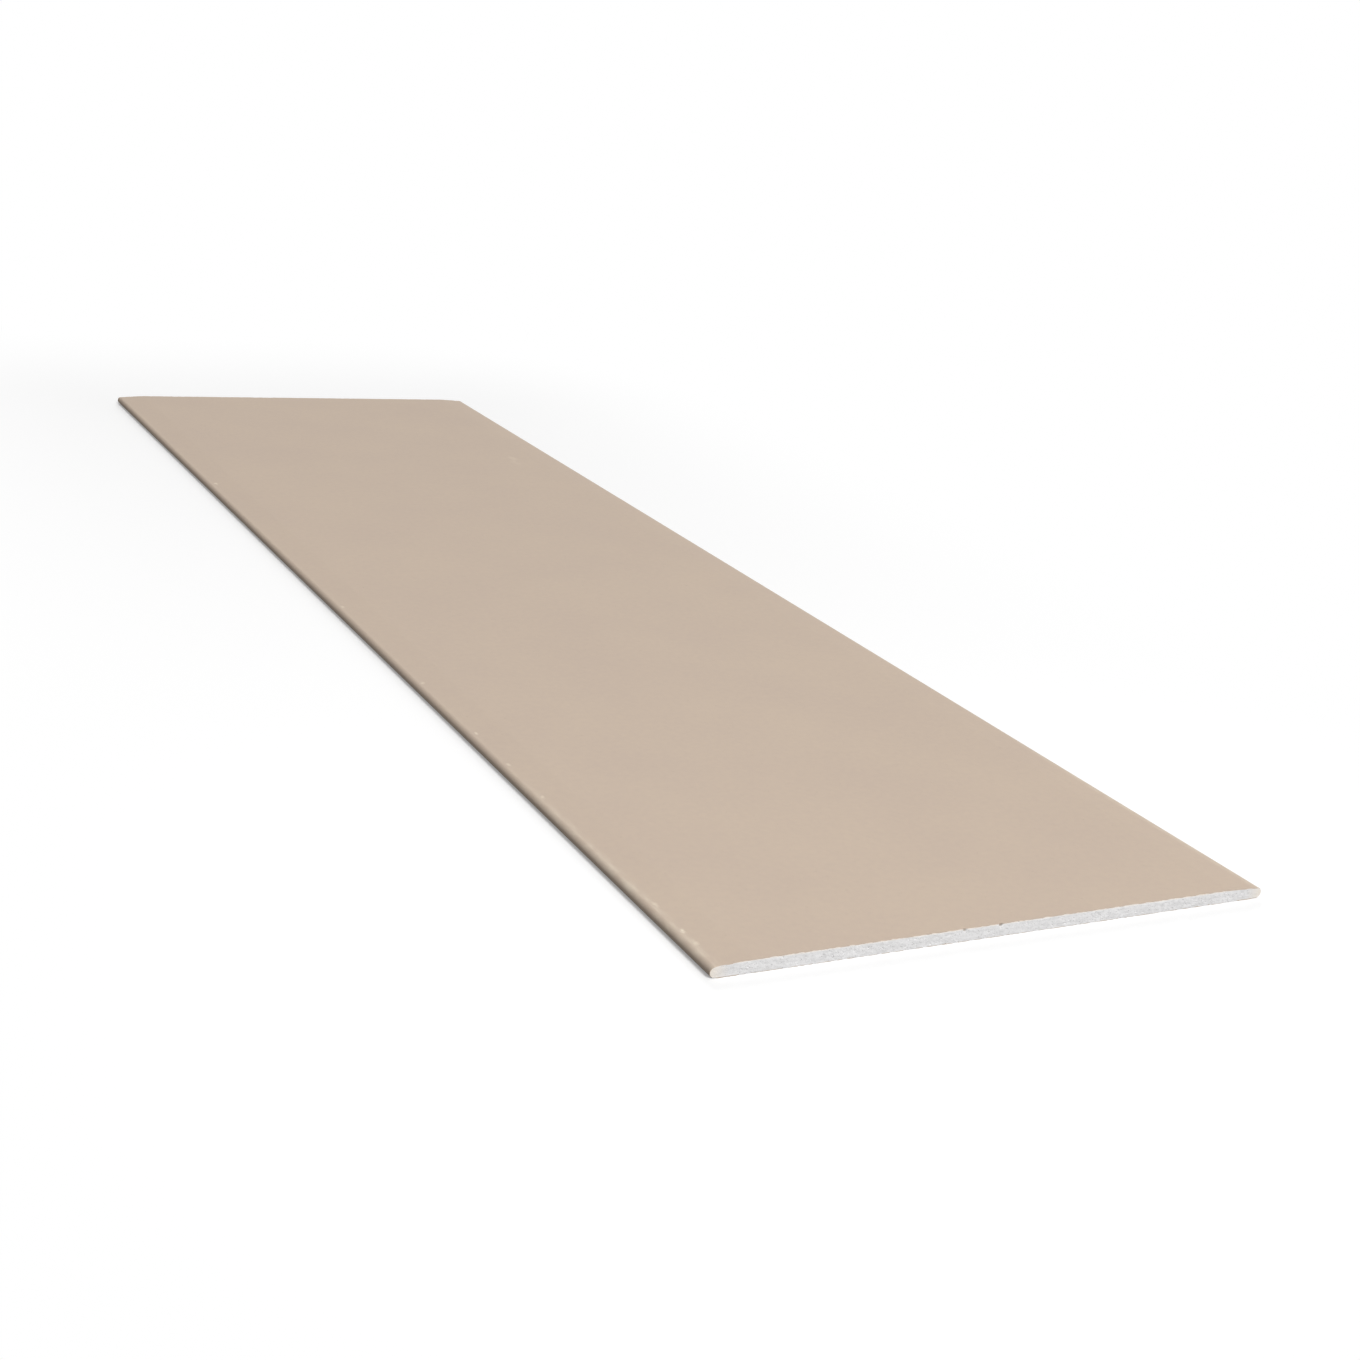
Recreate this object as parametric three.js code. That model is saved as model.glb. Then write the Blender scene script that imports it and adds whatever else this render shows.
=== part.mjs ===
// One sheet of plasterboard, lying flat with its face up: a foamed gypsum core between two papers.
// The face paper wraps both long edges and is folded onto the back, where the back paper laps it.
// The long edges are tapered and half-round. The ends are cut square, so the core shows there.
// Millimetres: +X across the sheet, +Y along it, +Z out of its face. The origin is the middle of
// the underside.
import * as THREE from "three";

// Driving dimensions
const sheetWidth = 600;
const sheetLength = 2000;
const sheetThickness = 12.5; // over both papers, where the face is level
const taperWidth = 40; // from a long edge to where the face is level
const taperDepth = 1.8; // from the level of the face down to the top of the rounded edge
const facePaperThickness = 0.4;
const backPaperThickness = 0.35;
const foldWidth = 28; // from a long edge to where the face paper ends on the back
const backPaperInset = 7; // from a long edge to where the back paper ends, on the fold
const arcFacets = 6; // half of the facets of each quarter of a half-round edge

// The rounded edge, or nose, stands on the back paper's level and reaches up to the taper.
const halfWidth = sheetWidth / 2;
const foldEnd = halfWidth - foldWidth;
const noseRadius = (sheetThickness - taperDepth - backPaperThickness) / 2;
const noseX = halfWidth - noseRadius;
const noseZ = backPaperThickness + noseRadius;

// The taper falls in a straight line from the level face and runs into the nose as its tangent.
const taperRun = taperWidth - noseRadius;
const taperFall = sheetThickness - noseZ;
const taperAngle = Math.atan2(taperFall, taperRun) - Math.asin(noseRadius / Math.hypot(taperRun, taperFall));

const facePaper = new THREE.MeshStandardMaterial({ color: 0xc6b7a3, roughness: 0.85, metalness: 0 });
const backPaper = new THREE.MeshStandardMaterial({ color: 0xb3a28d, roughness: 0.9, metalness: 0 });
const gypsum = new THREE.MeshStandardMaterial({ color: 0xe3e1df, roughness: 0.95, metalness: 0 });

// The section's line at a depth under the face paper's outer side, from the end of the right-hand
// fold round that edge, up its taper, across the face and down the left-hand side the same way.
function wrapLine(depth) {
  const radius = noseRadius - depth;
  const right = new THREE.Path();
  right.moveTo(foldEnd, noseZ - radius);
  right.lineTo(noseX, noseZ - radius);
  right.absarc(noseX, noseZ, radius, -Math.PI / 2, 0);
  right.absarc(noseX, noseZ, radius, 0, Math.PI / 2 - taperAngle);
  right.lineTo(halfWidth - taperWidth - depth * Math.tan(taperAngle / 2), sheetThickness - depth);
  const rightPoints = right.getPoints(arcFacets);
  const leftPoints = rightPoints.map((point) => new THREE.Vector2(-point.x, point.y)).reverse();
  return [...rightPoints, ...leftPoints];
}

// A strip as thick as the paper between two such lines
function facePaperSection() {
  return new THREE.Shape([...wrapLine(0), ...wrapLine(facePaperThickness).reverse()]);
}

// Everything inside the face paper, down to the back paper: it is stepped at the end of each fold.
function coreSection() {
  return new THREE.Shape([
    ...wrapLine(facePaperThickness),
    new THREE.Vector2(-foldEnd, backPaperThickness),
    new THREE.Vector2(foldEnd, backPaperThickness),
  ]);
}

function backPaperSection() {
  const edge = halfWidth - backPaperInset;
  return new THREE.Shape([
    new THREE.Vector2(-edge, 0),
    new THREE.Vector2(edge, 0),
    new THREE.Vector2(edge, backPaperThickness),
    new THREE.Vector2(-edge, backPaperThickness),
  ]);
}

// The pieces come off one production line, so each is its section drawn out to the sheet's length.
function strip(name, section, material) {
  const geometry = new THREE.ExtrudeGeometry(section, { depth: sheetLength, bevelEnabled: false });
  const mesh = new THREE.Mesh(geometry, material);
  mesh.name = name;
  mesh.rotation.x = Math.PI / 2;
  mesh.position.y = sheetLength / 2;
  return mesh;
}

const sheet = new THREE.Group();
sheet.add(
  strip("gypsum_core", coreSection(), gypsum),
  strip("face_paper", facePaperSection(), facePaper),
  strip("back_paper", backPaperSection(), backPaper),
);

export default sheet;
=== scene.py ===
import bmesh
import bpy
import math
from mathutils import Euler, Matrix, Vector


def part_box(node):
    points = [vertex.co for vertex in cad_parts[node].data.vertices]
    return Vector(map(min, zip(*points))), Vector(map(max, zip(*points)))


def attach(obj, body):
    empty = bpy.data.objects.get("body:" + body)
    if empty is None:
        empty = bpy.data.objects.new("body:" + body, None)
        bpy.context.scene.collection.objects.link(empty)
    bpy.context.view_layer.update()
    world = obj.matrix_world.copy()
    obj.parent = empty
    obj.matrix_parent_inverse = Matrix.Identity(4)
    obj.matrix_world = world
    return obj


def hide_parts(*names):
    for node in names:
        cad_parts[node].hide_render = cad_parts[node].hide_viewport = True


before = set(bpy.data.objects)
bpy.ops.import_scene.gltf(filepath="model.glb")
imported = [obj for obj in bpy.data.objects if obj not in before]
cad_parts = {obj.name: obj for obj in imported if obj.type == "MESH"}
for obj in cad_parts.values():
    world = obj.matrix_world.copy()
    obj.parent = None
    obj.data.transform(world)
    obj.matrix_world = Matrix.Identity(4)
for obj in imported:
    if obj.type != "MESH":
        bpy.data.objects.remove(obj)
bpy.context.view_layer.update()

mm = 0.001  # Blender counts in metres
near = 0.01 * mm  # places closer than this are the same place
nearer = 0.001 * mm  # the same, where a nose is trimmed to facets that hardly turn

# The sheet's own measures, read off the solids
halfWidth, halfLength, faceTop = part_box("face_paper")[1]
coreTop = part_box("gypsum_core")[1].z
backEdge, _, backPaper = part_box("back_paper")[1]
facePaper = faceTop - coreTop
linerPoints = [vertex.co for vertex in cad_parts["face_paper"].data.vertices]
topPoints = [point for point in linerPoints if point.z > faceTop - near]
foldPoints = [point for point in linerPoints if point.z < backPaper + near]
levelEdge = max(point.x for point in topPoints)  # a taper starts here
foldEnd = min(abs(point.x) for point in foldPoints)
noseX = max(point.x for point in foldPoints)  # the middle of a rounded edge, or nose
noseRadius = halfWidth - noseX
noseZ = backPaper + noseRadius
slantRun, slantFall = noseX - levelEdge, faceTop - noseZ
slant = math.atan2(slantFall, slantRun) - math.asin(noseRadius / math.hypot(slantRun, slantFall))


def report(text):
    print("drywall sheet:", text)


# Mesh helpers

xAxis, yAxis = 0, 1
alongShare = 0.99  # an edge runs along an axis if the axis has this share of its length
mostParts = 100  # one pass can split an edge into this many at most
firstParts = 10  # the first of two passes splits it into this many
sharpFrom = 35  # degrees between two faces, past which their edge is shaded sharp


def makeActive(piece):
    bpy.ops.object.select_all(action="DESELECT")
    piece.select_set(True)
    bpy.context.view_layer.objects.active = piece


def openMesh(piece):
    makeActive(piece)
    bpy.ops.object.mode_set(mode="EDIT")
    bpy.ops.mesh.select_all(action="SELECT")


def closeMesh():
    bpy.ops.object.mode_set(mode="OBJECT")


# Selects the faces or edges whose corners all pass the test. Given along, it takes only the edges
# that run along that axis.
def pick(piece, kind, passes, along=None):
    bpy.ops.mesh.select_mode(type=kind)
    bpy.ops.mesh.select_all(action="DESELECT")
    mesh = bmesh.from_edit_mesh(piece.data)
    for part in mesh.faces if kind == "FACE" else mesh.edges:
        corners = [vertex.co for vertex in part.verts]
        if not all(passes(corner) for corner in corners):
            continue
        if along is not None:
            run = corners[1] - corners[0]
            if abs(run[along]) < alongShare * run.length:
                continue
        part.select_set(True)
    mesh.select_flush_mode()
    bmesh.update_edit_mesh(piece.data)


def countOf(length, size):
    return max(1, round(length / size))


# Splits the edges that run along an axis into that many, in two passes past what one pass can do
def splitEdges(piece, passes, along, count):
    if count > mostParts:
        splitEdges(piece, passes, along, firstParts)
        count = countOf(count, firstParts)
    if count > 1:
        pick(piece, "EDGE", passes, along)
        bpy.ops.mesh.subdivide(number_cuts=count - 1)


def extrudeBy(x, y, z):
    bpy.ops.mesh.extrude_region_move(TRANSFORM_OT_translate={"value": (x, y, z)})


# Pushes the points around a place by move, those further from it less and none past the radius
def dent(piece, place, radius, move):
    openMesh(piece)
    bpy.ops.mesh.select_mode(type="VERT")
    bpy.ops.mesh.select_all(action="DESELECT")
    mesh = bmesh.from_edit_mesh(piece.data)
    nearest = min(mesh.verts, key=lambda vertex: (vertex.co - Vector(place)).length)
    nearest.select_set(True)
    bmesh.update_edit_mesh(piece.data)
    bpy.ops.transform.translate(
        value=move, use_proportional_edit=True, proportional_edit_falloff="SMOOTH",
        proportional_size=radius,
    )
    closeMesh()


def addModifier(piece, kind, **settings):
    modifier = piece.modifiers.new(kind.lower(), kind)
    for name, value in settings.items():
        setattr(modifier, name, value)


def applyModifiers(piece):
    makeActive(piece)
    for modifier in list(piece.modifiers):
        bpy.ops.object.modifier_apply(modifier=modifier.name)


# A pattern in space that is black up to low and white from high on, or white and then black
# where low is the larger
def reliefPattern(name, kind, low, high, **settings):
    pattern = bpy.data.textures.new(name, kind)
    for setting, value in settings.items():
        setattr(pattern, setting, value)
    pattern.use_color_ramp = True
    pattern.color_ramp.interpolation = "EASE"
    first, last = pattern.color_ramp.elements
    first.position, last.position = min(low, high), max(low, high)
    black, white = (0, 0, 0, 1), (1, 1, 1, 1)
    first.color, last.color = (black, white) if low < high else (white, black)
    return pattern


# Moves a group's points along an axis, by depth where the pattern is white
def carve(piece, group, pattern, axis, depth):
    addModifier(
        piece, "DISPLACE", texture=pattern, texture_coords="LOCAL", direction=axis,
        vertex_group=group, mid_level=0, strength=depth,
    )


def groupPoints(piece, name, share):
    group = piece.vertex_groups.new(name=name)
    for vertex in piece.data.vertices:
        amount = share(vertex.co)
        if amount > 0:
            group.add([vertex.index], amount, "REPLACE")


# Both ends were trimmed. Each pattern eats into them from the sheet's full length.
def carveEnds(piece, reliefs, share=lambda place: 1):
    groupPoints(piece, "front", lambda place: share(place) if place.y < near - halfLength else 0)
    groupPoints(piece, "rear", lambda place: share(place) if place.y > halfLength - near else 0)
    for pattern, depth in reliefs:
        carve(piece, "front", pattern, "Y", depth)
        carve(piece, "rear", pattern, "Y", -depth)
    applyModifiers(piece)
    piece.vertex_groups.clear()


def finishPiece(piece, node, materials):
    makeActive(piece)
    bpy.ops.object.shade_smooth_by_angle(angle=math.radians(sharpFrom))
    for material in materials:
        piece.data.materials.append(material)
    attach(piece, "root")
    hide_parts(node)
    triangles = sum(len(face.vertices) - 2 for face in piece.data.polygons)
    report(f"{piece.name} has {triangles} triangles")


# Material helpers

# An sRGB hex code as the linear colour that a node takes
def linear(code):
    channels = []
    for place in (0, 2, 4):
        value = int(code[place:place + 2], 16) / 255
        channels.append(value / 12.92 if value <= 0.04045 else ((value + 0.055) / 1.055) ** 2.4)
    return (*channels, 1)


# Adds a node. A socket is given a value, or another node's output to be linked to. Sockets are
# numbered where names repeat: a Mix of two colours takes 0, 6 and 7, and its result is at 2.
def addNode(tree, kind, sockets=None, **settings):
    node = tree.nodes.new("ShaderNode" + kind)
    for name, value in settings.items():
        setattr(node, name, value)
    for socket, value in (sockets or {}).items():
        if isinstance(value, bpy.types.NodeSocket):
            tree.links.new(value, node.inputs[socket])
        else:
            node.inputs[socket].default_value = value
    return node


def startMaterial(name):
    material = bpy.data.materials.new(name)
    material.use_nodes = True
    tree = material.node_tree
    tree.nodes.clear()
    place = addNode(tree, "TexCoord").outputs["Object"]
    return material, tree, place


# Paper and plaster are both porous, so little of the gloss of their solid matter is left
def finishMaterial(tree, colour, roughness, normal):
    shader = addNode(
        tree, "BsdfPrincipled",
        {
            "Base Color": colour, "Roughness": roughness, "IOR": 1.5, "Specular IOR Level": 0.3,
            "Normal": normal,
        },
    )
    addNode(tree, "OutputMaterial", {"Surface": shader.outputs[0]})


# The paper on the face

faceLiner = {
    "noseSteps": 16,  # facets in each quarter of a nose
    "column": 1 * mm,
    "row": 60 * mm,
    "endRows": (4 * mm, 8 * mm, 16 * mm),  # finer rows, this far from a cut end
    "raggedDepth": 1.5 * mm,  # how far a cut end is torn back at most
    "raggedSize": 7 * mm,
    "nickTear": (0, 1.4 * mm, -0.4 * mm),  # how it is torn back and pressed in over a nick
    "tan": "c4b2a2",
    "cloudTan": "c8b6a4",
    "cloudSize": 140 * mm,
    "flocSize": 7 * mm,
    "fibre": "9a8872",
    "fibreSize": 4 * mm,
    "fibrePatch": 5 * mm,
    "rubbedHighlitTan": "d5c7b5",
    "rubHighlightPatch": (6 * mm, 20 * mm),  # across the sheet and along it
    "rubHighlightFrom": 12 * mm,  # from a long edge
    "rubHighlightTo": 6 * mm,
    "rubHighlightRise": 3 * mm,  # over the middle of a nose
    # each paler mark's place and length in millimetres, and its strength: the first lies over the
    # one knock
    "paleMarks": (
        (-291.5, -937, 9.7, 8, 0.9), (-291, -959, 10, 9, 0.4), (-291, -887, 10, 8, 0.4),
        (-291, -655, 10, 7, 0.4), (-291.5, -575, 9.9, 7, 0.5), (-291, -491, 10, 6, 0.6),
        (-292, -344, 9.7, 9, 0.4), (-291.5, -84, 9.9, 8, 0.45), (-289, 465, 10.4, 9, 0.6),
        (221, 593, 12.5, 22, 0.15), (215, 568, 12.5, 26, 0.1),
    ),
    "rubHighlightFade": (-720 * mm, -590 * mm),  # the rubbing and its painted highlight fade between these, from the front end
    "rubHighlightFurtherBack": 0.15,  # the share of it that is left behind them
    "paleMarked": "ece0cc",
    "paleMarkDraw": (1.4, 0.8, 1),  # drawn in across the sheet, and out along it
    "paleMarkFull": 0.6,  # the share of its length up to which it has its full strength
    "frayedSize": 5 * mm,
    "knockDepth": 0.25 * mm,
    "knockRadius": 4 * mm,
    "knockRow": 1.2 * mm,  # finer rows across it
    "knockRows": 5,  # how many on each side
    "grainSize": 1.2 * mm,  # coarser than the real grain, so that it shows
    "grainDepth": 0.03 * mm,
    "roughness": 0.95,
}


def calenderedLinerBoard():
    # Board of recycled pulp pressed smooth between steel rolls: matt and even, with faint clouds
    #  where the pulp settled and a few stray fibres, rubbed paler along its rounded edges and
    #  painted with a highlight on their upper shoulders.
    material, tree, place = startMaterial("calenderedLinerBoard")
    cloud = addNode(
        tree, "TexNoise", {"Vector": place, "Scale": 1 / faceLiner["cloudSize"], "Detail": 2}
    )
    floc = addNode(
        tree, "TexNoise", {"Vector": place, "Scale": 1 / faceLiner["flocSize"], "Detail": 3}
    )
    both = addNode(tree, "Math", {0: cloud.outputs[0], 1: floc.outputs[0]}, operation="ADD")
    tone = addNode(tree, "MapRange", {"Value": both.outputs[0], "From Min": 0.7, "From Max": 1.3})
    body = addNode(
        tree, "Mix",
        {0: tone.outputs[0], 6: linear(faceLiner["tan"]), 7: linear(faceLiner["cloudTan"])},
        data_type="RGBA",
    )
    # A fibre lies where a warped pattern passes its middle value, and only here and there. It is
    # drawn a few times as wide as a real one, so that it shows.
    warp = addNode(
        tree, "TexNoise",
        {"Vector": place, "Scale": 1 / faceLiner["fibreSize"], "Detail": 1, "Distortion": 1.5},
    )
    middle = addNode(tree, "Math", {0: warp.outputs[0], 1: 0.5}, operation="SUBTRACT")
    beside = addNode(tree, "Math", {0: middle.outputs[0]}, operation="ABSOLUTE")
    line = addNode(
        tree, "MapRange",
        {"Value": beside.outputs[0], "From Max": 0.012, "To Min": 0.5, "To Max": 0},
    )
    patch = addNode(tree, "TexNoise", {"Vector": place, "Scale": 1 / faceLiner["fibrePatch"]})
    some = addNode(tree, "MapRange", {"Value": patch.outputs[0], "From Min": 0.6, "From Max": 0.7})
    thread = addNode(tree, "Math", {0: line.outputs[0], 1: some.outputs[0]}, operation="MULTIPLY")
    fibred = addNode(
        tree, "Mix", {0: thread.outputs[0], 6: body.outputs[2], 7: linear(faceLiner["fibre"])},
        data_type="RGBA",
    )
    # Handling rubs the shoulders of the rounded edges paler in patches, most near the front end;
    #  above the middle of each nose this paler band is also a painted highlight
    apart = addNode(tree, "SeparateXYZ", {"Vector": place})
    across = addNode(tree, "Math", {0: apart.outputs["X"]}, operation="ABSOLUTE")
    shoulder = addNode(
        tree, "MapRange",
        {
            "Value": across.outputs[0], "From Min": halfWidth - faceLiner["rubHighlightFrom"],
            "From Max": halfWidth - faceLiner["rubHighlightTo"],
        },
    )
    upper = addNode(
        tree, "MapRange",
        {
            "Value": apart.outputs["Z"], "From Min": noseZ,
            "From Max": noseZ + faceLiner["rubHighlightRise"],
        },
    )
    wide, long = faceLiner["rubHighlightPatch"]
    along = addNode(tree, "Mapping", {"Vector": place, "Scale": (1 / wide, 1 / long, 0)})
    patchy = addNode(tree, "TexNoise", {"Vector": along.outputs[0], "Scale": 1, "Detail": 3})
    rubHighlight = addNode(
        tree, "MapRange",
        {"Value": patchy.outputs[0], "From Min": 0.4, "From Max": 0.75, "To Min": 0.15},
    )
    reach = addNode(
        tree, "Math", {0: shoulder.outputs[0], 1: upper.outputs[0]}, operation="MULTIPLY"
    )
    rubbingHighlight = addNode(tree, "Math", {0: reach.outputs[0], 1: rubHighlight.outputs[0]}, operation="MULTIPLY")
    full, faint = faceLiner["rubHighlightFade"]
    handledHighlit = addNode(
        tree, "MapRange",
        {
            "Value": apart.outputs["Y"], "From Min": full, "From Max": faint,
            "To Min": 1, "To Max": faceLiner["rubHighlightFurtherBack"],
        },
    )
    wornHighlit = addNode(
        tree, "Math", {0: rubbingHighlight.outputs[0], 1: handledHighlit.outputs[0]}, operation="MULTIPLY"
    )
    rubbedHighlit = addNode(
        tree, "Mix",
        {0: wornHighlit.outputs[0], 6: fibred.outputs[2], 7: linear(faceLiner["rubbedHighlitTan"])},
        data_type="RGBA",
    )
    # Paler frayed patches, most on the left shoulder and two on the face; the first is over the
    # knock
    frayed = addNode(
        tree, "TexNoise", {"Vector": place, "Scale": 1 / faceLiner["frayedSize"], "Detail": 4}
    )
    paleMarking = 0
    for x, y, z, length, strength in faceLiner["paleMarks"]:
        aside = addNode(
            tree, "VectorMath", {0: place, 1: (x * mm, y * mm, z * mm)}, operation="SUBTRACT"
        )
        drawn = addNode(
            tree, "VectorMath", {0: aside.outputs[0], 1: faceLiner["paleMarkDraw"]},
            operation="MULTIPLY",
        )
        nearby = addNode(tree, "VectorMath", {0: drawn.outputs[0]}, operation="LENGTH")
        frayedReach = addNode(
            tree, "Math", {0: frayed.outputs[0], 1: length * mm, 2: nearby.outputs["Value"]},
            operation="MULTIPLY_ADD",
        )
        paleMark = addNode(
            tree, "MapRange",
            {
                "Value": frayedReach.outputs[0], "From Min": faceLiner["paleMarkFull"] * length * mm,
                "From Max": length * mm, "To Min": strength, "To Max": 0,
            },
        )
        either = addNode(tree, "Math", {0: paleMarking, 1: paleMark.outputs[0]}, operation="MAXIMUM")
        paleMarking = either.outputs[0]
    colour = addNode(
        tree, "Mix", {0: paleMarking, 6: rubbedHighlit.outputs[2], 7: linear(faceLiner["paleMarked"])},
        data_type="RGBA",
    )
    grain = addNode(
        tree, "TexNoise", {"Vector": place, "Scale": 1 / faceLiner["grainSize"], "Detail": 3}
    )
    bump = addNode(
        tree, "Bump", {"Height": grain.outputs[0], "Distance": faceLiner["grainDepth"]}
    )
    finishMaterial(tree, colour.outputs[2], faceLiner["roughness"], bump.outputs[0])
    return material


# The cut ends of both papers
cutEdge = {
    "darkPly": "7c6b57",
    "palePly": "ad9d88",
    "fuzzSize": 0.7 * mm,
    "fuzzDepth": 0.1 * mm,
    "dust": "e0d6ca",
    "dustSize": 25 * mm,
    "roughness": 0.95,
}


def cutPaperEdge():
    # The plies of the board where it was cut through: darker than its face, dull and fuzzy, and
    # dusty with gypsum in places.
    material, tree, place = startMaterial("cutPaperEdge")
    fuzz = addNode(
        tree, "TexNoise", {"Vector": place, "Scale": 1 / cutEdge["fuzzSize"], "Detail": 3}
    )
    plies = addNode(
        tree, "Mix",
        {0: fuzz.outputs[0], 6: linear(cutEdge["darkPly"]), 7: linear(cutEdge["palePly"])},
        data_type="RGBA",
    )
    drift = addNode(
        tree, "TexNoise", {"Vector": place, "Scale": 1 / cutEdge["dustSize"], "Detail": 4}
    )
    dust = addNode(
        tree, "MapRange",
        {"Value": drift.outputs[0], "From Min": 0.48, "From Max": 0.66, "To Max": 0.65},
    )
    colour = addNode(
        tree, "Mix", {0: dust.outputs[0], 6: plies.outputs[2], 7: linear(cutEdge["dust"])},
        data_type="RGBA",
    )
    bump = addNode(tree, "Bump", {"Height": fuzz.outputs[0], "Distance": cutEdge["fuzzDepth"]})
    finishMaterial(tree, colour.outputs[2], cutEdge["roughness"], bump.outputs[0])
    return material


# Rows across a sheet of paper, closer together towards its cut ends
def cutRows(piece, row):
    for inset in faceLiner["endRows"]:
        for side in (-1, 1):
            bpy.ops.mesh.select_all(action="SELECT")
            bpy.ops.mesh.bisect(plane_co=(0, side * (halfLength - inset), 0), plane_no=(0, 1, 0))
    inner = halfLength - faceLiner["endRows"][-1] + near
    splitEdges(piece, lambda place: abs(place.y) < inner, yAxis, countOf(2 * inner, row))


def buildFaceLiner(board, plies, ragged):
    bpy.ops.mesh.primitive_plane_add(size=1)
    liner = bpy.context.object
    liner.name = "face_liner"
    column = faceLiner["column"]
    openMesh(liner)
    # the right-hand half of the level face
    bpy.ops.transform.resize(value=(levelEdge, 2 * halfLength, 1), center_override=(0, 0, 0))
    bpy.ops.transform.translate(value=(levelEdge / 2, 0, faceTop))
    splitEdges(liner, lambda place: True, xAxis, countOf(levelEdge, column))
    # down the taper, round the nose and in along the back
    tangentX = noseX + noseRadius * math.sin(slant)
    tangentZ = noseZ + noseRadius * math.cos(slant)
    pick(liner, "EDGE", lambda place: place.x > levelEdge - near)
    extrudeBy(tangentX - levelEdge, 0, tangentZ - faceTop)
    for turn in (math.pi / 2 - slant, math.pi / 2):
        bpy.ops.mesh.spin(
            steps=faceLiner["noseSteps"], angle=turn, center=(noseX, 0, noseZ), axis=(0, -1, 0)
        )
    extrudeBy(foldEnd - noseX, 0, 0)
    splitEdges(
        liner, lambda place: levelEdge - near < place.x < tangentX + near and place.z > noseZ,
        xAxis, countOf(tangentX - levelEdge, column),
    )
    splitEdges(
        liner, lambda place: place.x < noseX + near and place.z < noseZ,
        xAxis, countOf(noseX - foldEnd, column),
    )
    cutRows(liner, faceLiner["row"])
    knock = Vector(faceLiner["paleMarks"][0][:3]) * mm
    rows = faceLiner["knockRows"]
    for step in range(-rows, rows + 1):
        row = knock.y + step * faceLiner["knockRow"]
        bpy.ops.mesh.select_all(action="SELECT")
        bpy.ops.mesh.bisect(plane_co=(0, row, 0), plane_no=(0, 1, 0))
    bpy.ops.mesh.select_all(action="SELECT")
    bpy.ops.mesh.remove_doubles(threshold=near)
    bpy.ops.mesh.normals_make_consistent(inside=False)
    closeMesh()
    addModifier(liner, "MIRROR", merge_threshold=near)
    addModifier(
        liner, "SOLIDIFY", thickness=facePaper, offset=-1, use_even_offset=True,
        material_offset_rim=1,
    )
    applyModifiers(liner)
    carveEnds(liner, [(ragged, faceLiner["raggedDepth"])])
    depth = faceLiner["knockDepth"]
    dent(liner, knock, faceLiner["knockRadius"], (depth / 3, 0, -depth))  # down and a little in
    for nick in gypsumCore["nicks"]:
        place = (nick, -halfLength, faceTop)
        dent(liner, place, gypsumCore["nickSize"], faceLiner["nickTear"])
    finishPiece(liner, "face_paper", [board, plies])


# The gypsum between the papers

gypsumCore = {
    "columns": 1380,
    "rows": 30,
    "denseEdge": 18 * mm,  # the strip along each long edge with hardly any bubbles
    "denseRelief": 0.3,  # the share of the relief that is left in it
    "denseSkin": 1.5 * mm,  # the same, under the face paper
    "bubbleSpacing": 5 * mm,
    "bubbleRadius": 1.1 * mm,
    "bubbleDepth": 0.9 * mm,
    "poreSpacing": 2.4 * mm,
    "poreRadius": 0.6 * mm,
    "poreDepth": 0.45 * mm,
    "wavySize": 9 * mm,
    "wavyDepth": 0.35 * mm,
    "nicks": (-47.5 * mm, -8.7 * mm),  # chipped from the front end, just under the face
    "nickDrop": 0.7 * mm,  # from the face paper down to the middle of one
    "nickSize": 2.8 * mm,
    "nickDepth": 3 * mm,
    "white": "f2f1f1",
    "shadedWhite": "e6e5e5",
    "warmWhite": "f2e7d8",
    "mottleSize": 4 * mm,
    "streakSize": (30 * mm, 3 * mm),  # across the sheet, and up it
    "cellSize": 1.5 * mm,
    "cellDepth": 1.2 * mm,
    "cellBubble": 0.36,  # the radius of the largest bubble, as a share of its cell
    "denseBubble": 0.1,
    # painted shade where a cut end lies back, in its bubbles and nicks
    "hollowShade": "9c9892",
    "hollowShadeFrom": 0.4 * mm,  # from a cut end
    "hollowShadeTo": 1.6 * mm,
    "deepShade": "a08c78",  # painted shade, browner, where it lies furthest back from the end, as in a nick
    "deepShadeFrom": 1.2 * mm,
    "deepShadeTo": 2 * mm,
    "plainFrom": 4 * mm,
    "plainTo": 6 * mm,
    "grainSize": 0.5 * mm,  # far coarser than the real crystals, so that it shows
    "grainDepth": 0.12 * mm,
    "roughness": 0.95,
    "mapStrips": 5,  # how many strips each cut end is laid out in, on the baked images
    "mapEnds": 0.9,  # the share of an image's height that the two ends take
    "mapMargin": 0.05,  # the share of a strip that is left free above and below
}


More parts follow.
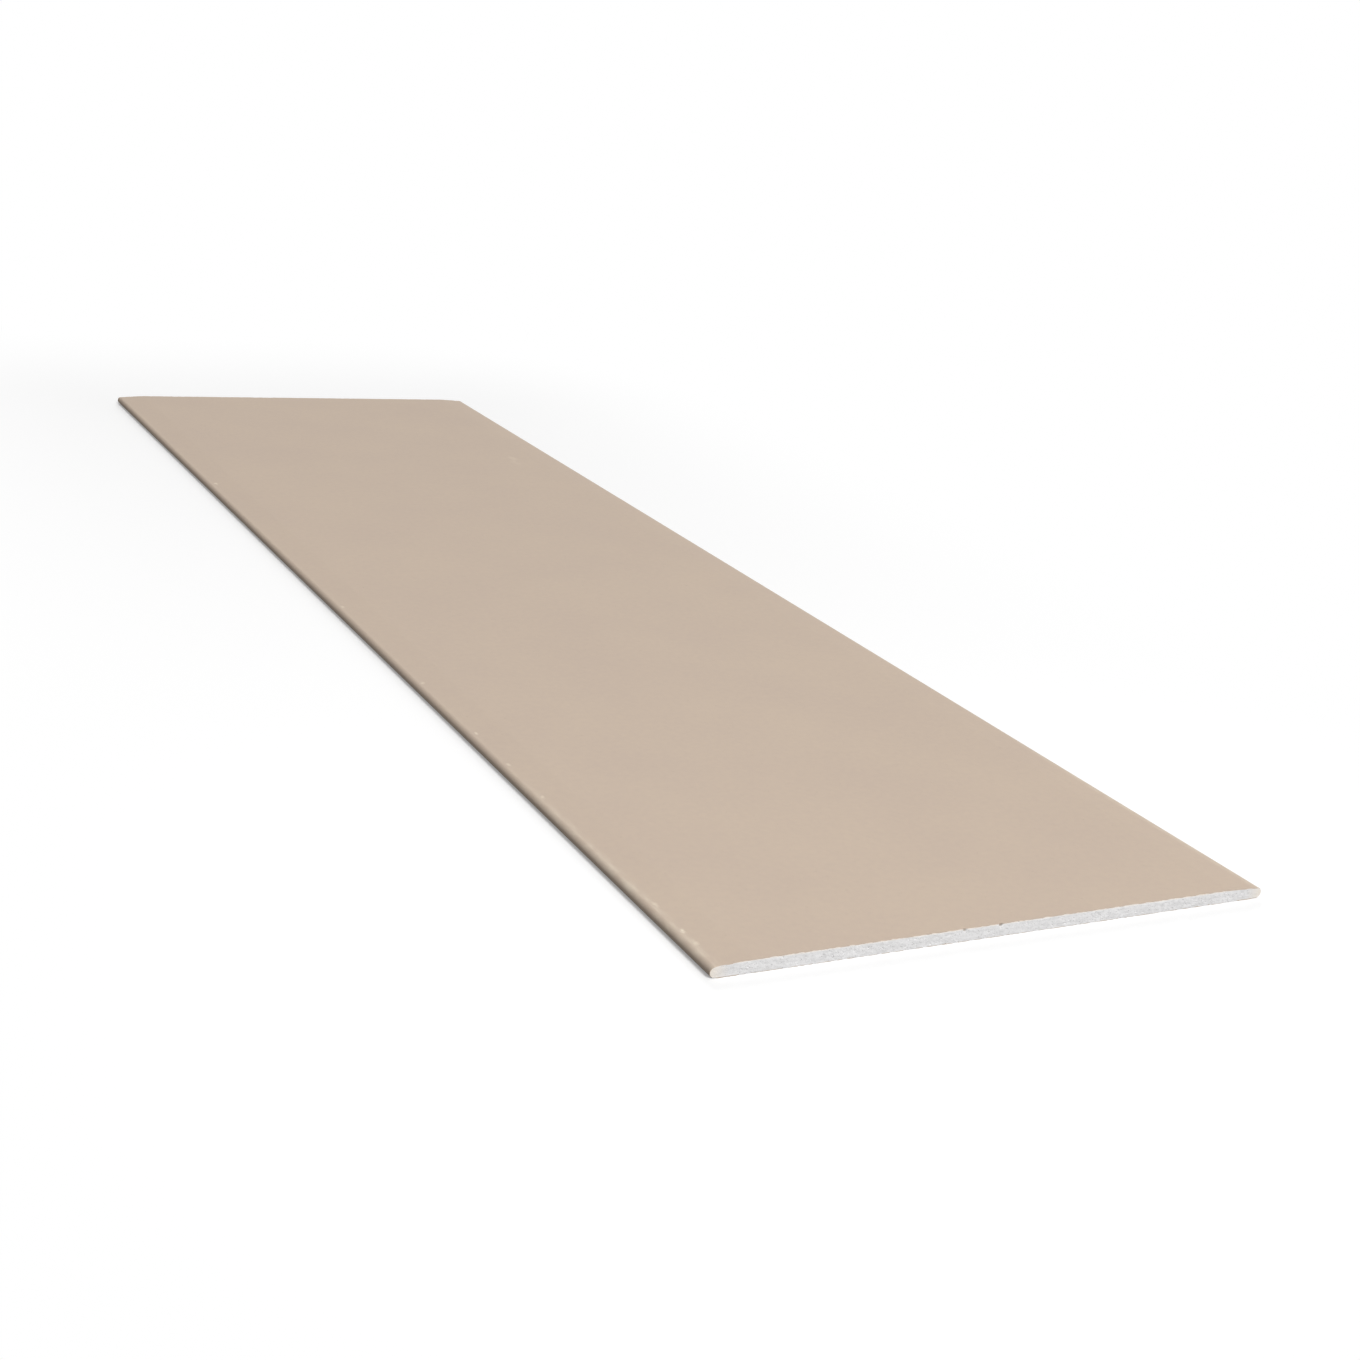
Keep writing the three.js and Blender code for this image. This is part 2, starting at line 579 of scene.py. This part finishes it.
def foamedGypsum():
    # Plaster foamed while wet and cut once set: chalky and dead matt, full of bubbles of all
    #  sizes, faintly streaked by the blade, and denser and warmer along the long edges. Painted
    #  shade darkens its bubbles and nicks.
    material, tree, place = startMaterial("foamedGypsum")
    mottle = addNode(
        tree, "TexNoise", {"Vector": place, "Scale": 1 / gypsumCore["mottleSize"], "Detail": 4}
    )
    wide, high = gypsumCore["streakSize"]
    drawn = addNode(tree, "Mapping", {"Vector": place, "Scale": (1 / wide, 0, 1 / high)})
    streak = addNode(tree, "TexNoise", {"Vector": drawn.outputs[0], "Scale": 1, "Detail": 3})
    both = addNode(tree, "Math", {0: mottle.outputs[0], 1: streak.outputs[0]}, operation="ADD")
    tone = addNode(tree, "MapRange", {"Value": both.outputs[0], "From Min": 0.8, "From Max": 1.2})
    body = addNode(
        tree, "Mix",
        {0: tone.outputs[0], 6: linear(gypsumCore["shadedWhite"]), 7: linear(gypsumCore["white"])},
        data_type="RGBA",
    )
    apart = addNode(tree, "SeparateXYZ", {"Vector": place})
    across = addNode(tree, "Math", {0: apart.outputs["X"]}, operation="ABSOLUTE")
    edge = addNode(
        tree, "MapRange",
        {
            "Value": across.outputs[0], "From Min": halfWidth - gypsumCore["denseEdge"],
            "From Max": halfWidth, "To Max": 0.8,
        },
    )
    skin = addNode(
        tree, "MapRange",
        {
            "Value": apart.outputs["Z"], "From Min": coreTop - gypsumCore["denseSkin"],
            "From Max": coreTop, "To Max": 0.6,
        },
    )
    dense = addNode(tree, "Math", {0: edge.outputs[0], 1: skin.outputs[0]}, operation="MAXIMUM")
    edged = addNode(
        tree, "Mix",
        {0: dense.outputs[0], 6: body.outputs[2], 7: linear(gypsumCore["warmWhite"])},
        data_type="RGBA",
    )
    # Each cell of the pattern holds one small bubble, of any radius up to the largest
    cell = addNode(tree, "TexVoronoi", {"Vector": place, "Scale": 1 / gypsumCore["cellSize"]})
    chance = addNode(tree, "SeparateColor", {0: cell.outputs["Color"]})
    foamed = addNode(
        tree, "MapRange",
        {
            "Value": dense.outputs[0], "From Max": 0.5, "To Min": gypsumCore["cellBubble"],
            "To Max": gypsumCore["denseBubble"],
        },
    )
    radius = addNode(
        tree, "Math", {0: chance.outputs[0], 1: foamed.outputs[0]}, operation="MULTIPLY"
    )
    pit = addNode(
        tree, "Math", {0: cell.outputs["Distance"], 1: radius.outputs[0]}, operation="MINIMUM"
    )
    depth = addNode(tree, "Math", {0: radius.outputs[0], 1: pit.outputs[0]}, operation="SUBTRACT")
    # Painted shade, darker towards the middle of each small bubble
    shade = addNode(tree, "MapRange", {"Value": depth.outputs[0], "From Max": 0.25, "To Max": 0.7})
    # The larger bubbles are in the mesh, where it lies back from the end. Painted shade darkens
    #  it there, the further back the darker.
    along = addNode(tree, "Math", {0: apart.outputs["Y"]}, operation="ABSOLUTE")
    hollowShade = addNode(
        tree, "MapRange",
        {
            "Value": along.outputs[0], "From Min": halfLength - gypsumCore["hollowShadeFrom"],
            "From Max": halfLength - gypsumCore["hollowShadeTo"], "To Max": 0.7,
        },
    )
    # Past the deepest nick it is the plain surface under the papers again
    cutEnd = addNode(
        tree, "MapRange",
        {
            "Value": along.outputs[0], "From Min": halfLength - gypsumCore["plainTo"],
            "From Max": halfLength - gypsumCore["plainFrom"],
        },
    )
    behind = addNode(
        tree, "Math", {0: hollowShade.outputs[0], 1: cutEnd.outputs[0]}, operation="MULTIPLY"
    )
    dark = addNode(tree, "Math", {0: shade.outputs[0], 1: behind.outputs[0]}, operation="MAXIMUM")
    # Painted shade turns browner where it lies furthest back from the end, as in a nick
    nick = addNode(
        tree, "MapRange",
        {
            "Value": along.outputs[0], "From Min": halfLength - gypsumCore["deepShadeFrom"],
            "From Max": halfLength - gypsumCore["deepShadeTo"],
        },
    )
    bottom = addNode(
        tree, "Mix",
        {0: nick.outputs[0], 6: linear(gypsumCore["hollowShade"]), 7: linear(gypsumCore["deepShade"])},
        data_type="RGBA",
    )
    colour = addNode(
        tree, "Mix", {0: dark.outputs[0], 6: edged.outputs[2], 7: bottom.outputs[2]},
        data_type="RGBA",
    )
    pitted = addNode(
        tree, "Bump", {"Height": pit.outputs[0], "Distance": gypsumCore["cellDepth"]}
    )
    grain = addNode(
        tree, "TexNoise", {"Vector": place, "Scale": 1 / gypsumCore["grainSize"], "Detail": 3}
    )
    bump = addNode(
        tree, "Bump",
        {
            "Height": grain.outputs[0], "Distance": gypsumCore["grainDepth"],
            "Normal": pitted.outputs[0],
        },
    )
    finishMaterial(tree, colour.outputs[2], gypsumCore["roughness"], bump.outputs[0])
    return material


# Trims the section along the line at right angles to turn, this far from a point
def trimSection(point, turn, distance, side):
    normal = Vector((side * math.cos(turn), 0, math.sin(turn)))
    onLine = Vector((side * point[0], 0, point[1])) + distance * normal
    bpy.ops.mesh.select_all(action="SELECT")
    bpy.ops.mesh.bisect(plane_co=onLine, plane_no=normal, clear_outer=True, threshold=nearer)


# Under each fold of the face paper the core is one paper thinner
def stepSection(core):
    for side in (-1, 1):
        bpy.ops.mesh.select_all(action="SELECT")
        bpy.ops.mesh.bisect(plane_co=(side * foldEnd, 0, 0), plane_no=(1, 0, 0))
    pick(core, "FACE", lambda place: abs(place.x) > foldEnd - near)
    bpy.ops.mesh.bisect(
        plane_co=(0, 0, backPaper + facePaper), plane_no=(0, 0, -1), clear_outer=True
    )


# Each cell of the pattern holds one bubble, deepest in its middle
def bubblePattern(name, spacing, radius):
    return reliefPattern(
        name, "VORONOI", low=radius / spacing, high=0.01, noise_scale=spacing
    )


# A map of this name is laid out for baking the piece's images. It gives the cut ends nearly all
#  of the room, in strips one above another, and the top and the bottom, which the papers cover,
#  one band each.
def mapForBaking(core):
    strips, margin = gypsumCore["mapStrips"], gypsumCore["mapMargin"]
    row = gypsumCore["mapEnds"] / (2 * strips)
    band = (1 - gypsumCore["mapEnds"]) / 2
    mapped = core.data.uv_layers.new(name="OFBake").uv
    for face in core.data.polygons:
        isEnd = abs(face.center.y) > halfLength / 2
        isRear = face.center.y > 0
        isTop = face.normal.z > 0
        strip = int((face.center.x / halfWidth + 1) / 2 * strips)
        for corner in face.loop_indices:
            x, y, z = core.data.vertices[core.data.loops[corner].vertex_index].co
            if isEnd:
                across = (x / halfWidth + 1) / 2 * strips - strip
                rise = margin + (1 - 2 * margin) * z / coreTop
                up = (isRear * strips + strip + rise) * row
            else:
                unrolled = abs(x) + (coreTop - z if isTop else z)  # round the noses too
                across = 0.5 + math.copysign(0.5, x) * unrolled / (halfWidth + coreTop)
                rise = margin + (1 - 2 * margin) * (y / halfLength + 1) / 2
                up = 1 - (isTop + rise) * band
            mapped[corner].vector = (across, up)


def buildCore(gypsum):
    bpy.ops.mesh.primitive_grid_add(
        x_subdivisions=gypsumCore["columns"], y_subdivisions=gypsumCore["rows"], size=1,
        rotation=(math.pi / 2, 0, 0),
    )
    core = bpy.context.object
    core.name = "gypsum_body"
    bpy.ops.object.transform_apply(rotation=True)
    height = coreTop - backPaper
    openMesh(core)
    bpy.ops.transform.resize(value=(2 * halfWidth, 1, height), center_override=(0, 0, 0))
    bpy.ops.transform.translate(value=(0, -halfLength, backPaper + height / 2))
    for side in (-1, 1):
        trimSection((levelEdge, faceTop), math.pi / 2 - slant, -facePaper, side)
        for start, end in ((0, math.pi / 2 - slant), (-math.pi / 2, 0)):
            step = (end - start) / faceLiner["noseSteps"]
            for count in range(faceLiner["noseSteps"]):
                turn = start + (count + 0.5) * step
                reach = (noseRadius - facePaper) * math.cos(step / 2)
                trimSection((noseX, noseZ), turn, reach, side)
    stepSection(core)
    closeMesh()
    addModifier(core, "SOLIDIFY", thickness=2 * halfLength, offset=-1)
    applyModifiers(core)
    bubbles = bubblePattern("bubbles", gypsumCore["bubbleSpacing"], gypsumCore["bubbleRadius"])
    pores = bubblePattern("pores", gypsumCore["poreSpacing"], gypsumCore["poreRadius"])
    wavy = reliefPattern(
        "wavyCut", "CLOUDS", low=0.2, high=0.8, noise_scale=gypsumCore["wavySize"]
    )
    foamedTo = halfWidth - gypsumCore["denseEdge"]
    carveEnds(
        core,
        [
            (bubbles, gypsumCore["bubbleDepth"]), (pores, gypsumCore["poreDepth"]),
            (wavy, gypsumCore["wavyDepth"]),
        ],
        lambda place: 1 if abs(place.x) < foamedTo else gypsumCore["denseRelief"],
    )
    for nick in gypsumCore["nicks"]:
        place = (nick, -halfLength, coreTop - gypsumCore["nickDrop"])
        dent(core, place, gypsumCore["nickSize"], (0, gypsumCore["nickDepth"], 0))
    mapForBaking(core)
    finishPiece(core, "gypsum_core", [gypsum])


# The paper on the back

backLiner = {
    "column": 2 * mm,
    "row": 60 * mm,
    "brownGrey": "ad9d8b",
    "paleGrey": "b7a897",
    "cloudSize": 90 * mm,
    "flocSize": 5 * mm,
    "fleck": "877764",
    "fleckSpacing": 6 * mm,
    "grainSize": 1.5 * mm,  # coarser than the real grain, so that it shows
    "grainDepth": 0.06 * mm,
    "roughness": 0.9,
}


def unbleachedLinerBoard():
    # The plainer board of the back, of mixed waste paper: browner, coarser and flecked.
    material, tree, place = startMaterial("unbleachedLinerBoard")
    cloud = addNode(
        tree, "TexNoise", {"Vector": place, "Scale": 1 / backLiner["cloudSize"], "Detail": 3}
    )
    floc = addNode(
        tree, "TexNoise", {"Vector": place, "Scale": 1 / backLiner["flocSize"], "Detail": 4}
    )
    both = addNode(tree, "Math", {0: cloud.outputs[0], 1: floc.outputs[0]}, operation="ADD")
    tone = addNode(tree, "MapRange", {"Value": both.outputs[0], "From Min": 0.7, "From Max": 1.3})
    body = addNode(
        tree, "Mix",
        {0: tone.outputs[0], 6: linear(backLiner["brownGrey"]), 7: linear(backLiner["paleGrey"])},
        data_type="RGBA",
    )
    speck = addNode(tree, "TexVoronoi", {"Vector": place, "Scale": 1 / backLiner["fleckSpacing"]})
    fleck = addNode(
        tree, "MapRange",
        {
            "Value": speck.outputs["Distance"], "From Min": 0.06, "From Max": 0.12,
            "To Min": 0.7, "To Max": 0,
        },
    )
    colour = addNode(
        tree, "Mix", {0: fleck.outputs[0], 6: body.outputs[2], 7: linear(backLiner["fleck"])},
        data_type="RGBA",
    )
    grain = addNode(
        tree, "TexNoise", {"Vector": place, "Scale": 1 / backLiner["grainSize"], "Detail": 4}
    )
    bump = addNode(
        tree, "Bump", {"Height": grain.outputs[0], "Distance": backLiner["grainDepth"]}
    )
    finishMaterial(tree, colour.outputs[2], backLiner["roughness"], bump.outputs[0])
    return material


def buildBackLiner(board, plies, ragged):
    bpy.ops.mesh.primitive_plane_add(size=1)
    liner = bpy.context.object
    liner.name = "back_liner"
    openMesh(liner)
    bpy.ops.transform.resize(value=(2 * backEdge, 2 * halfLength, 1), center_override=(0, 0, 0))
    splitEdges(liner, lambda place: True, xAxis, countOf(2 * backEdge, backLiner["column"]))
    cutRows(liner, backLiner["row"])
    bpy.ops.mesh.select_all(action="SELECT")
    bpy.ops.mesh.flip_normals()
    closeMesh()
    addModifier(liner, "SOLIDIFY", thickness=backPaper, offset=-1, material_offset_rim=1)
    applyModifiers(liner)
    carveEnds(liner, [(ragged, faceLiner["raggedDepth"])])
    finishPiece(liner, "back_paper", [board, plies])


# Camera, light and floor

view = {
    "place": (-1.0676, -2.1990, 0.7433),
    "heading": 30.49,  # degrees from the sheet's length towards its right
    "pitch": 19.16,  # degrees down
    "roll": 7.23,
    "lens": 52.46,
}

light = {
    "sky": 0.3,  # the even light from all round
    "sun": 1.32,  # a broad lamp high in front
    "sunFrom": (0.08, -0.7, 0.71),
    "sunSize": 20,  # degrees
    "fill": 1.3,  # a weaker one behind, lower and to the right
    "fillFrom": (0.4, 0.84, 0.37),
    "fillSize": 30,
    "lamp": 102,  # a softbox in front of the near end, in watts
    "lampPlace": (-0.1, -4.75, 2.9),
    "lampSize": 1.2,
}

floorLook = {
    "white": "fcfcfc",
    "bounce": "888888",  # what it throws back on the sheet
    "glow": 0.07,  # what the camera sees on top of the light on it
    "size": 60,
    "fadeFrom": -0.25,  # off the sheet, it fades to plain white between these distances
    "fadeTo": 0.6,
}


def placeCamera():
    camera = bpy.data.objects.new("camera", bpy.data.cameras.new("camera"))
    bpy.context.scene.collection.objects.link(camera)
    camera.data.sensor_width = 36  # millimetres, as the lens
    camera.data.lens = view["lens"]
    camera.data.clip_start = 10 * mm
    heading, pitch, roll = (math.radians(view[name]) for name in ("heading", "pitch", "roll"))
    turn = Euler((0, 0, -heading)).to_matrix()
    turn = turn @ Euler((math.pi / 2 - pitch, 0, 0)).to_matrix()
    turn = turn @ Euler((0, 0, roll)).to_matrix()
    camera.location = view["place"]
    camera.rotation_euler = turn.to_euler()
    bpy.context.scene.camera = camera


# White where the camera, a gloss or a glass sees the world, and the sky light everywhere else
def lightWorld():
    world = bpy.data.worlds.new("studio")
    bpy.context.scene.world = world
    world.use_nodes = True
    tree = world.node_tree
    tree.nodes.clear()
    path = addNode(tree, "LightPath")
    either = addNode(
        tree, "Math", {0: path.outputs["Is Camera Ray"], 1: path.outputs["Is Glossy Ray"]},
        operation="MAXIMUM",
    )
    seen = addNode(
        tree, "Math", {0: either.outputs[0], 1: path.outputs["Is Transmission Ray"]},
        operation="MAXIMUM",
    )
    strength = addNode(
        tree, "MapRange", {"Value": seen.outputs[0], "To Min": light["sky"], "To Max": 1}
    )
    sky = addNode(tree, "Background", {"Color": (1, 1, 1, 1), "Strength": strength.outputs[0]})
    addNode(tree, "OutputWorld", {"Surface": sky.outputs[0]})


def addLamp(name, kind, energy, place, aim):
    lamp = bpy.data.objects.new(name, bpy.data.lights.new(name, kind))
    bpy.context.scene.collection.objects.link(lamp)
    lamp.data.energy = energy
    lamp.location = place
    lamp.rotation_euler = (Vector(aim) - Vector(place)).to_track_quat("-Z", "Y").to_euler()
    return lamp


def lightSheet():
    for name in ("sun", "fill"):
        lamp = addLamp(name, "SUN", light[name], light[name + "From"], (0, 0, 0))
        lamp.data.angle = math.radians(light[name + "Size"])
    softbox = addLamp("softbox", "AREA", light["lamp"], light["lampPlace"], (0, -halfLength, 0))
    softbox.data.size = light["lampSize"]


def layFloor():
    bpy.ops.mesh.primitive_plane_add(size=floorLook["size"])
    floor = bpy.context.object
    floor.name = "studioFloor"
    material, tree, place = startMaterial("mattWhiteFloor")
    path = addNode(tree, "LightPath")
    seen = path.outputs["Is Camera Ray"]
    colour = addNode(
        tree, "Mix", {0: seen, 6: linear(floorLook["bounce"]), 7: linear(floorLook["white"])},
        data_type="RGBA",
    )
    matt = addNode(tree, "BsdfDiffuse", {"Color": colour.outputs[2]})
    glow = addNode(tree, "MapRange", {"Value": seen, "To Max": floorLook["glow"]})
    glowing = addNode(tree, "Emission", {"Color": (1, 1, 1, 1), "Strength": glow.outputs[0]})
    lit = addNode(tree, "AddShader", {0: matt.outputs[0], 1: glowing.outputs[0]})
    folded = addNode(tree, "VectorMath", {0: place}, operation="ABSOLUTE")
    past = addNode(
        tree, "VectorMath", {0: folded.outputs[0], 1: (halfWidth, halfLength, 0)},
        operation="SUBTRACT",
    )
    off = addNode(tree, "VectorMath", {0: past.outputs[0]}, operation="MAXIMUM")
    away = addNode(tree, "VectorMath", {0: off.outputs[0]}, operation="LENGTH")
    fade = addNode(
        tree, "MapRange",
        {
            "Value": away.outputs["Value"], "From Min": floorLook["fadeFrom"],
            "From Max": floorLook["fadeTo"], "To Max": seen,
        },
        interpolation_type="SMOOTHSTEP",
    )
    white = addNode(tree, "Emission", {"Color": (1, 1, 1, 1), "Strength": 1})
    surface = addNode(
        tree, "MixShader", {0: fade.outputs[0], 1: lit.outputs[0], 2: white.outputs[0]}
    )
    addNode(tree, "OutputMaterial", {"Surface": surface.outputs[0]})
    floor.data.materials.append(material)


bpy.context.scene.view_settings.view_transform = "Standard"
placeCamera()
lightWorld()
lightSheet()
layFloor()
report("camera, light and floor are up")

plies = cutPaperEdge()
ragged = reliefPattern(
    "raggedCut", "CLOUDS", low=0.4, high=0.85, noise_scale=faceLiner["raggedSize"], noise_depth=3
)
buildFaceLiner(calenderedLinerBoard(), plies, ragged)
buildCore(foamedGypsum())
buildBackLiner(unbleachedLinerBoard(), plies, ragged)
